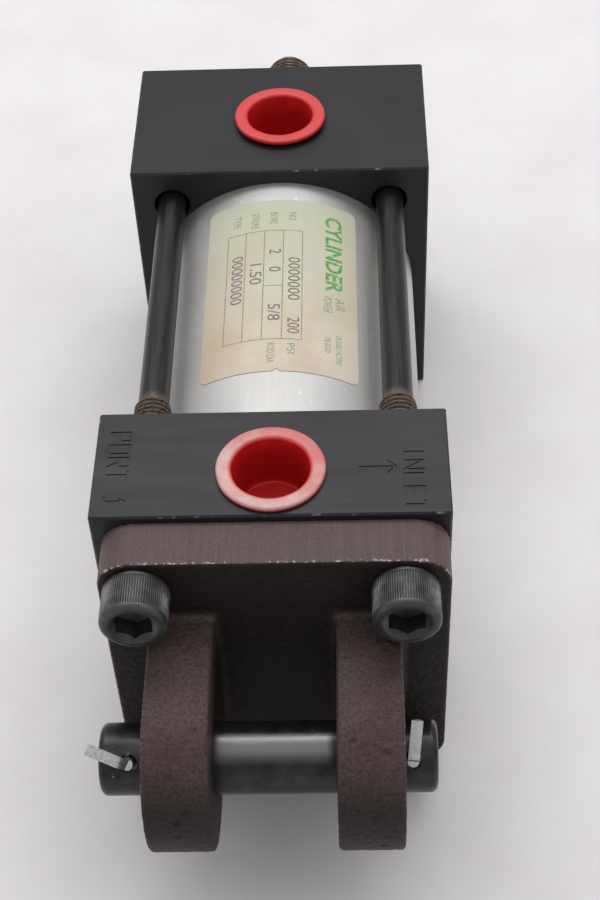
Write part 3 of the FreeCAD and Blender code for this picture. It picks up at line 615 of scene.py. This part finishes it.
def socket_screw(node, side, head_height, shank, socket, socket_depth, teeth):
    """A knurled socket head cap screw. side is -1 where its head points along -Y, and +1 along +Y."""
    low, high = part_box(node)
    centre = middle(node)
    head = (high.x - low.x) / 2
    front = low.y if side < 0 else high.y
    seat = front - side * head_height
    tip = high.y if side < 0 else low.y
    bevel = 0.7 * MM
    steps = 4                       # points on each knurl tooth, two on its crest and two in its groove
    angles = even_angles(teeth * steps)
    depth = 0.042 * head
    round_off = 0.15 * head

    def knurled(angle):
        place = round(angle / TURN * teeth * steps) % steps
        return head - depth if place >= 2 else head

    def hexagon(angle):
        turn = (angle + math.pi / 2) % (math.pi / 3) - math.pi / 6
        return socket / 2 / math.cos(turn)

    rows = [
        (tip, shank - bevel), (tip + side * bevel, shank), (seat, shank),
        (seat, head - 0.3 * MM), (seat + side * 0.25 * MM, head), (seat + side * 0.10 * head_height, head),
        (seat + side * 0.125 * head_height, knurled), (seat + side * 0.83 * head_height, knurled),
        (seat + side * 0.87 * head_height, head),
    ]
    knurl_rows = range(6, 9)
    shoulder_rows = range(9, 13)
    for k in range(1, 7):
        turn = math.pi / 2 * k / 6
        in_from_front = round_off * (1 - math.sin(turn))
        rows.append((front - side * in_from_front, head - round_off * (1 - math.cos(turn))))
    corner = socket / math.sqrt(3)
    mouth = 1.13 * corner
    rows += [(front, mouth + 0.12 * MM), (front - side * 0.06 * MM, mouth)]
    rings = [ring_y(centre, y, radius, angles) for y, radius in rows]
    rings.append([
        Vector((centre.x + hexagon(a) * math.cos(a),
                front - side * (0.1 * MM + 0.75 * (mouth - hexagon(a))),
                centre.z + hexagon(a) * math.sin(a)))
        for a in angles
    ])
    floor = front - side * socket_depth
    rings.append(ring_y(centre, floor, hexagon, angles))
    rings.append(ring_y(centre, floor - side * 0.3 * corner, 0.1 * MM, angles))
    piece = new_piece(node + "_knurled", *skin(rings))
    wear = []
    for row in range(len(rings)):
        for k in range(len(angles)):
            if row in knurl_rows:
                wear.append(1.0 if k % steps < 2 else 0.0)
            else:
                wear.append(0.45 if row in shoulder_rows else 0.0)
    mark(piece, "wear", wear)
    finish_piece(piece, "screw_black_oxide", sharp=38, replaces=[node])


def screws():
    """The clevis screws and the small screws of the bushing retainer."""
    for corner in CORNERS:
        socket_screw("clevis_screw_" + corner, side=-1, head_height=SCREW_HEIGHT, shank=3.95 * MM,
                     socket=6.35 * MM, socket_depth=3.9 * MM, teeth=84)
    for place in PLACES:
        socket_screw("retainer_screw_" + place, side=1, head_height=4.83 * MM, shank=2.4 * MM,
                     socket=4.0 * MM, socket_depth=2.6 * MM, teeth=60)


def remeshed(node, voxel):
    """A copy of a CAD node's mesh with small even faces, which relief can move."""
    source = NODES[node].data.copy()
    solid = bmesh.new()
    solid.from_mesh(source)
    bmesh.ops.remove_doubles(solid, verts=solid.verts, dist=1e-6)
    solid.to_mesh(source)
    solid.free()
    holder = bpy.data.objects.new(node + "_source", source)
    bpy.context.scene.collection.objects.link(holder)
    voxels = holder.modifiers.new("voxels", "REMESH")
    voxels.mode = "VOXEL"
    voxels.voxel_size = voxel
    voxels.adaptivity = 0.0
    graph = bpy.context.evaluated_depsgraph_get()
    mesh = bpy.data.meshes.new_from_object(holder.evaluated_get(graph))
    bpy.data.objects.remove(holder)
    return mesh


def iron_relief(points, cast, flank):
    """Depth in millimetres at each point: sand grain where cast, and milling lines on the plate's flanks."""
    depth = np.zeros(len(points), np.float32)
    for k in np.nonzero(cast)[0]:
        here = Vector(points[k].tolist())
        coarse = noise.noise(here * 0.16)
        medium = noise.noise(here * 0.7 + Vector((7, 3, 1)))
        fine = noise.noise(here * 1.55 + Vector((2, 9, 5)))
        depth[k] = 0.06 + 0.06 * coarse + 0.06 * medium + 0.10 * fine
    for k in np.nonzero(flank)[0]:
        x, y, z = points[k].tolist()
        depth[k] = 0.03 + 0.03 * noise.noise(Vector((x * 1.3, 0.12 * y, z * 1.3)))
    return depth


def add_pits(depth, points, cast):
    """Small round pits, scattered over the ears' rims and sides."""
    draw = random.Random(4)
    pits = 46
    rim = -BRACKET[0].y / MM            # the ears' radius
    for _ in range(pits):
        across = draw.choice((-1, 1)) * draw.uniform(12.0, 21.5)
        turn = math.radians(draw.uniform(-50, 215))
        pit = np.array([across, -rim * math.cos(turn), rim * math.sin(turn)])
        if pit[1] > 0:
            pit[1:] = draw.uniform(0, 15), rim * math.copysign(1, math.sin(turn))
        size = draw.uniform(0.35, 0.95)
        distance = np.linalg.norm(points - pit, axis=1)
        depth += np.where(cast, 0.45 * size * np.clip(1 - (distance / size) ** 2, 0, 1), 0)


def cast_bracket():
    """The clevis bracket with a sand cast skin: rough faces, small pits, and crisp milled plate edges."""
    mesh = remeshed("clevis_bracket", voxel=0.34 * MM)
    count = len(mesh.vertices)
    points = np.empty(count * 3, np.float32)
    mesh.vertices.foreach_get("co", points)
    points = points.reshape(-1, 3) / MM
    normals = np.empty(count * 3, np.float32)
    mesh.vertices.foreach_get("normal", normals)
    normals = normals.reshape(-1, 3)

    # from here to the marks, lengths are in millimetres, as in points
    plate_corner = 6.5
    bore_reach = 7.0
    hole_reach = 4.6
    centre = (BRACKET[0] + BRACKET[1]) / 2 / MM
    half = (BRACKET[1].x - BRACKET[0].x) / 2 / MM
    plate_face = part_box("clevis_screw_upper_left")[0].y / MM + SCREW_HEIGHT / MM
    back = BRACKET[1].y / MM
    x, y, z = points.T
    off = np.abs(np.stack([x - centre.x, z - centre.z]))
    on_plate = y > plate_face - 0.6
    flank = on_plate & (np.abs(normals[:, 1]) < 0.75) & (off.max(axis=0) > half - 7)
    flank &= np.hypot(*np.maximum(off - (half - plate_corner), 0)) > plate_corner - 1.5
    milled = flank | (y > back - 0.5)
    milled |= np.hypot(y, z) < bore_reach
    for corner in CORNERS:
        place = middle("clevis_screw_" + corner) / MM
        milled |= np.hypot(x - place.x, z - place.z) < hole_reach
    cast = ~milled

    depth = iron_relief(points, cast, flank)
    add_pits(depth, points, cast)
    moved = (points - normals * np.maximum(depth, 0)[:, None]) * MM
    mesh.vertices.foreach_set("co", moved.astype(np.float32).ravel())
    mesh.name = "clevis_bracket_cast"
    piece = bpy.data.objects.new("clevis_bracket_cast", mesh)

    mark(piece, "milled", flank)
    front_edge = np.clip(1 - np.abs(y - plate_face) / 1.1, 0, 1) * flank
    to_ear_face = np.minimum(*(np.abs(x - face / MM) for face in EAR_FACES))
    ear_edge = np.clip(1 - to_ear_face / 0.9, 0, 1) * (y < plate_face - 2) * 0.35
    mark(piece, "edge", np.maximum(front_edge, ear_edge))
    finish_piece(piece, "clevis_iron", sharp=180, replaces=["clevis_bracket"])


def rounded(radius, z, size, start, end, steps=5):
    """A profile's rounded corner about (radius, z), from one angle in degrees to another."""
    turns = [math.radians(start + (end - start) * k / steps) for k in range(steps + 1)]
    return [(radius + size * math.cos(t), z + size * math.sin(t)) for t in turns]


def port_plug(node, slot):
    """A hollow push-in plug: soft-edged flange, tapered cup, and a flat floor."""
    low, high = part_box(node)
    centre = middle(node)
    flange = (high.x - low.x) / 2
    top = high.z
    foot = low.z
    rim = 1.1 * MM
    wall = 1.0 * MM
    neck = 7.9 * MM
    foot_radius = 7.3 * MM
    opening = 7.05 * MM
    near_axis = 0.05 * MM
    profile = [(near_axis, foot), (foot_radius - 0.6 * MM, foot)]
    profile += rounded(foot_radius - 0.6 * MM, foot + 0.6 * MM, 0.6 * MM, -80, 0)
    profile += [(neck, top - rim - 0.9 * MM), (neck, top - rim)]
    profile += rounded(flange - 0.3 * MM, top - rim + 0.3 * MM, 0.3 * MM, -90, 0, steps=3)
    profile += rounded(flange - 0.5 * MM, top - 0.5 * MM, 0.5 * MM, 0, 90)
    profile += [(0.5 * (flange + opening), top - 0.04 * MM)]
    profile += rounded(opening + 0.75 * MM, top - 0.8 * MM, 0.75 * MM, 90, 180)
    inner = foot_radius - wall
    floor = foot + wall
    profile += [(0.5 * (opening + inner), 0.5 * (top + floor) - 0.5 * MM)]
    profile += rounded(inner - 0.5 * MM, floor + 0.5 * MM, 0.5 * MM, 0, -90)
    profile += [(near_axis, floor)]
    rings = []
    for radius, z in profile:
        ring = []
        for a in even_angles(144):
            uneven = 0.12 * MM * noise.noise(Vector((2.0 * math.cos(a), 2.0 * math.sin(a), 40 * z)))
            shrunk = min(0.0, uneven - 0.02 * MM)
            reach = max(0.04 * MM, radius + shrunk)
            ring.append(Vector((centre.x + reach * math.cos(a), centre.y + reach * math.sin(a), z)))
        rings.append(ring)
    piece = new_piece(node + "_moulded", *skin(rings))
    finish_piece(piece, slot, node, sharp=60, replaces=[node])


def half_round(centre, bulge, flat, radius, steps=10):
    """A half-round wire section: flat along one direction, and bulging towards the other."""
    turns = [math.pi * k / steps for k in range(steps + 1)]
    return [centre + flat * radius * math.cos(t) + bulge * radius * math.sin(t) for t in turns]


def cotter_pin(node, hole_x, lean):
    """A cotter pin as one folded half-round wire, with a long leg bent towards lean (degrees)."""
    tilt = math.radians(COTTER_TILT)
    out = Vector((0, -math.cos(tilt), math.sin(tilt)))
    around = Vector((0, math.sin(tilt), math.cos(tilt)))
    lean = math.radians(lean)
    spread = Vector((1, 0, 0)) * math.cos(lean) + around * math.sin(lean)
    flat = out.cross(spread)
    hole = Vector((hole_x, 0, 0))
    gap = 0.02 * MM
    foot = -(PIN_RADIUS + 0.9 * MM)
    bend_at = PIN_RADIUS + 0.75 * MM
    bend_radius = 1.1 * MM
    bend = math.radians(80.0)
    eye = 1.3 * MM
    pivot = gap + COTTER_WIRE + bend_radius
    straight = COTTER_LEG - COTTER_WIRE - bend_radius
    stations = []                   # (centre of the flat side, bulge direction)

    def add(u, v, turn):
        """A station at spread u and out v, with its bulge turned from spread towards out."""
        bulge = spread * math.cos(turn) + out * math.sin(turn)
        stations.append((hole + spread * u + out * v, bulge))

    def on_bend(turn):
        """The station where the leg has turned that far from straight."""
        bulge = spread * math.cos(turn) - out * math.sin(turn)
        return hole + spread * pivot + out * bend_at - bulge * (COTTER_WIRE + bend_radius), bulge

    knee, bulge = on_bend(bend)
    along = out * math.cos(bend) + spread * math.sin(bend)
    for share in (1.0, 0.6, 0.2):
        stations.append((knee + along * straight * share, bulge))
    for k in range(9):
        stations.append(on_bend(bend * (1 - k / 8)))
    add(gap, 0.5 * (bend_at + foot), 0)
    add(gap, foot, 0)
    eye_centre = foot - eye - 0.5 * COTTER_WIRE
    for k in range(25):
        turn = math.radians(75 - 330 * k / 24)
        add(eye * math.cos(turn), eye_centre + eye * math.sin(turn), turn)
    add(-gap, foot, math.pi)
    add(-gap, 0.5 * (foot + PIN_RADIUS), math.pi)
    add(-gap, PIN_RADIUS + 1.3 * MM, math.pi)
    rings = [half_round(centre, direction, flat, COTTER_WIRE) for centre, direction in stations]
    piece = new_piece(node + "_folded", *skin(rings))
    finish_piece(piece, "cotter_zinc", "clevis_pin", sharp=40, replaces=[node])


def cotter_pins():
    """Both cotter pins, each with its own lean."""
    for node, (hole_x, lean) in COTTER_PLACES.items():
        cotter_pin(node, hole_x, lean)


# ---------------------------------------------------------------- label

def label_edges():
    """The label's first and last angle from straight up, towards +X."""
    low, high = LABEL
    return math.asin(low.x / LABEL_RADIUS), math.asin(high.x / LABEL_RADIUS)


def on_barrel(across, along, lift=0.0):
    """A point at the label's face. across runs round the barrel towards +X from straight up."""
    angle = across / LABEL_RADIUS
    reach = LABEL_RADIUS + lift
    return Vector((reach * math.sin(angle), along, reach * math.cos(angle)))


def label_rows(start, end, corner_steps=8, inner=40):
    """(y, inset) rows along the label: rounded corners at both ends, and plain rows between them."""
    turns = [math.pi / 2 * k / corner_steps for k in range(corner_steps + 1)]
    near = [(LABEL_CORNER * (1 - math.cos(t)), LABEL_CORNER * (1 - math.sin(t))) for t in turns]
    rows = [(start + y, inset) for y, inset in near]
    for k in range(1, inner):
        rows.append((start + LABEL_CORNER + (end - start - 2 * LABEL_CORNER) * k / inner, 0.0))
    rows += [(end - y, inset) for y, inset in reversed(near)]
    return rows


def label_sheet():
    """A thin sheet wrapped round the barrel, with rounded corners and a nick in its near edge."""
    first, last = (angle * LABEL_RADIUS for angle in label_edges())
    start, end = LABEL[0].y, LABEL[1].y
    nick_at, nick_width, nick_depth = 0.2 * MM, 0.45 * MM, 0.7 * MM
    rows = label_rows(start, end)
    columns = 90
    vertices, faces = [], []
    for lift in (0.0, -LABEL_THICK):
        for y, inset in rows:
            for c in range(columns + 1):
                across = first + inset + (last - first - 2 * inset) * c / columns
                nick = 0.0
                if y < start + 1.2 * MM:
                    nick = nick_depth * math.exp(-((across - nick_at) / nick_width) ** 2)
                vertices.append(on_barrel(across, max(y, start + nick), lift))
    width = columns + 1
    size = width * len(rows)
    for r in range(len(rows) - 1):
        for c in range(columns):
            a = r * width + c
            faces.append((a, a + 1, a + width + 1, a + width))
            faces.append((size + a, size + a + width, size + a + width + 1, size + a + 1))
    border = list(range(width))
    border += [r * width + columns for r in range(1, len(rows))]
    border += [(len(rows) - 1) * width + c for c in range(columns - 1, -1, -1)]
    border += [r * width for r in range(len(rows) - 2, 0, -1)]
    for a, b in zip(border, border[1:] + border[:1]):
        faces.append((a, b, size + b, size + a))
    piece = new_piece("barrel_label_sheet", vertices, faces)
    finish_piece(piece, "label_film", sharp=50, replaces=["barrel_label"])


def flat_text(words, height, length, heavy=0.0):
    """The filled outlines of words as a flat mesh, its baseline on x and its capitals height tall."""
    capitals = 0.72                 # of the font's size
    curve = bpy.data.curves.new("words", "FONT")
    curve.body = words
    curve.size = height / capitals
    curve.offset = heavy
    curve.resolution_u = 3
    holder = bpy.data.objects.new("words", curve)
    bpy.context.scene.collection.objects.link(holder)
    graph = bpy.context.evaluated_depsgraph_get()
    mesh = bpy.data.meshes.new_from_object(holder.evaluated_get(graph))
    bpy.data.objects.remove(holder)
    reach = max(v.co.x for v in mesh.vertices)
    mesh.transform(Matrix.Diagonal((length / reach, 1, 1, 1)))
    return mesh


def flat_bars(bars):
    """A flat mesh of rectangles, each (x, y, width, height)."""
    mesh = bpy.data.meshes.new("bars")
    vertices, faces = [], []
    for x, y, width, height in bars:
        base = len(vertices)
        vertices += [(x, y, 0), (x + width, y, 0), (x + width, y + height, 0), (x, y + height, 0)]
        faces.append((base, base + 1, base + 2, base + 3))
    mesh.from_pydata(vertices, [], faces)
    return mesh


def print_on_label(name, prints, ink):
    """Ink on the label. Each print is (flat mesh, start along the barrel, feet across it).

    Its words read from the rod end towards the cap, with their tops towards +X."""
    lift = 0.02 * MM
    cut = 0.8 * MM                  # between the bends of tall letters, so that they follow the barrel
    joined = bmesh.new()
    for mesh, along, across in prints:
        flat = bmesh.new()
        flat.from_mesh(mesh)
        reach = max(v.co.y for v in flat.verts)
        for k in range(1, int(reach / cut) + 1):
            everything = flat.verts[:] + flat.edges[:] + flat.faces[:]
            bmesh.ops.bisect_plane(flat, geom=everything, plane_co=(0, k * cut, 0), plane_no=(0, 1, 0))
        for v in flat.verts:
            v.co = on_barrel(across + v.co.y, along - v.co.x, lift)
        part = bpy.data.meshes.new("part")
        flat.to_mesh(part)
        flat.free()
        joined.from_mesh(part)
        bpy.data.meshes.remove(part)
        bpy.data.meshes.remove(mesh)
    # ink has two sides and no thickness
    bmesh.ops.solidify(joined, geom=joined.faces[:], thickness=0.0)
    mesh = bpy.data.meshes.new(name)
    joined.to_mesh(mesh)
    joined.free()
    finish_piece(bpy.data.objects.new(name, mesh), "label_film", sharp=60, material=ink)


def label_table(ink):
    """The table's frame, its lines, and one short divider. Returns its four rows' feet and its two ends."""
    first, last = -10.6 * MM, 5.05 * MM
    near, far = 76.25 * MM, 108.75 * MM
    row = (last - first) / 4
    line = 0.22 * MM
    length = far - near
    bars = [(0, k * row - line / 2, length, line) for k in range(5)]
    bars += [(-line / 2, 0, line, 4 * row), (length - line / 2, 0, line, 4 * row)]
    bars += [(0.52 * length, 2 * row, line, row)]
    print_on_label("label_table", [(flat_bars(bars), far, first)], ink)
    feet = [first + (3 - k) * row + 0.28 * row for k in range(4)]
    return feet, near, far


def label_print():
    """A plain table, its headings, the typed values, and a plain title."""
    strong = label_ink("ink_green", (0.17, 0.66, 0.13), 0.85)
    pale = label_ink("ink_green_pale", (0.42, 0.68, 0.36), 0.72)
    typed = label_ink("ink_typed", (0.27, 0.24, 0.225), 0.72)
    feet, table_near, table_far = label_table(pale)

    headings = (                    # words, length, row, start along the barrel
        ("NO.", 2.9, 0, table_far + 6.0 * MM), ("BORE", 3.9, 1, table_far + 6.0 * MM),
        ("STROKE", 5.0, 2, table_far + 6.0 * MM), ("TYPE", 3.8, 3, table_far + 6.0 * MM),
        ("PSI", 3.0, 0, table_near - 1.0 * MM), ("ROD DIA", 5.6, 1, table_near - 1.0 * MM),
    )
    prints = [(flat_text(words, 1.6 * MM, length * MM), y, feet[k]) for words, length, k, y in headings]
    print_on_label("label_headings", prints, pale)

    values = (                      # words, length, row, start along the barrel
        ("0000000", 13.0, 0, 100.5), ("200", 4.6, 0, 82.5),
        ("2", 1.6, 1, 103.0), ("0", 1.6, 1, 97.5), ("5/8", 5.0, 1, 86.5),
        ("1.50", 7.0, 2, 99.5), ("00000000", 14.5, 3, 102.0),
    )
    prints = [(flat_text(words, 2.5 * MM, length * MM), y * MM, feet[k]) for words, length, k, y in values]
    print_on_label("label_values", prints, typed)

    title = 10.05 * MM              # the title's feet, across the label
    title_words = flat_text("CYLINDER", 3.6 * MM, 23.3 * MM, heavy=0.12 * MM)
    print_on_label("label_title", [(title_words, 115.05 * MM, title)], strong)

    small_print = (                 # words, height, length, start along the barrel, feet above the title's
        ("AIR", 2.2, 3.6, 90.2, 1.9), ("POWER", 1.9, 5.0, 90.2, -0.6),
        ("DOUBLE ACTING", 1.3, 8.2, 79.4, 2.0), ("TIE ROD", 1.3, 4.4, 78.4, -0.4),
    )
    prints = []
    for words, height, length, y, above in small_print:
        prints.append((flat_text(words, height * MM, length * MM), y * MM, title + above * MM))
    print_on_label("label_small_print", prints, pale)


# ---------------------------------------------------------------- stage, light and camera

def stage():
    """A pale floor, a hair below the end blocks, so that no two faces lie in one plane."""
    size = 3.0
    mesh = bpy.data.meshes.new("floor")
    ground = CAP[0].z - 0.02 * MM
    corners = [(-size, -size, ground), (size, -size, ground), (size, size, ground), (-size, size, ground)]
    mesh.from_pydata(corners, [], [(0, 1, 2, 3)])
    mesh.materials.append(floor_paper())
    floor = bpy.data.objects.new("floor", mesh)
    bpy.context.scene.collection.objects.link(floor)


def soft_light(name, place, target, size, power):
    """A white rectangle of light that faces its target."""
    light = bpy.data.lights.new(name, "AREA")
    light.shape = "RECTANGLE"
    light.size, light.size_y = size
    light.energy = power
    holder = bpy.data.objects.new(name, light)
    holder.location = place
    holder.rotation_euler = (target - place).to_track_quat("-Z", "Y").to_euler()
    bpy.context.scene.collection.objects.link(holder)


def lights():
    """An even room, a wide light overhead, and a narrower one high beyond the barrel."""
    centre = (cad_bounds[0] + cad_bounds[1]) / 2
    world = bpy.data.worlds.new("soft_room")
    world.use_nodes = True
    background = world.node_tree.nodes["Background"]
    background.inputs["Color"].default_value = (1.0, 0.985, 1.0, 1)
    background.inputs["Strength"].default_value = 0.48
    bpy.context.scene.world = world
    soft_light("ceiling", centre + Vector((0.05, 0.12, 1.0)), centre, (3.0, 1.7), 8.5)
    soft_light("window", centre + Vector((0.0, 0.5, 0.98)), centre, (1.1, 0.36), 4.5)
    bpy.context.scene.view_settings.view_transform = "Standard"


def camera():
    """A camera above the clevis end, looking down along the cylinder."""
    data = bpy.data.cameras.new("camera")
    data.lens = CAMERA_LENS
    data.sensor_width = 36
    data.clip_start = 0.01
    holder = bpy.data.objects.new("camera", data)
    turn = Matrix.Rotation(math.radians(CAMERA_AZIMUTH), 3, "Z")
    tip = Matrix.Rotation(math.radians(90 - CAMERA_PITCH), 3, "X")
    roll = Matrix.Rotation(math.radians(-CAMERA_ROLL), 3, "Z")
    holder.matrix_world = Matrix.Translation(CAMERA_PLACE) @ (turn @ tip @ roll).to_4x4()
    bpy.context.scene.collection.objects.link(holder)
    bpy.context.scene.camera = holder


dress_cad_nodes()
tie_rods()
piston_rod()
screws()
cast_bracket()
port_plug("port_plug_cap", "plug_red_worn")
port_plug("port_plug_rod", "plug_red")
cotter_pins()
label_sheet()
label_print()
stage()
lights()
camera()
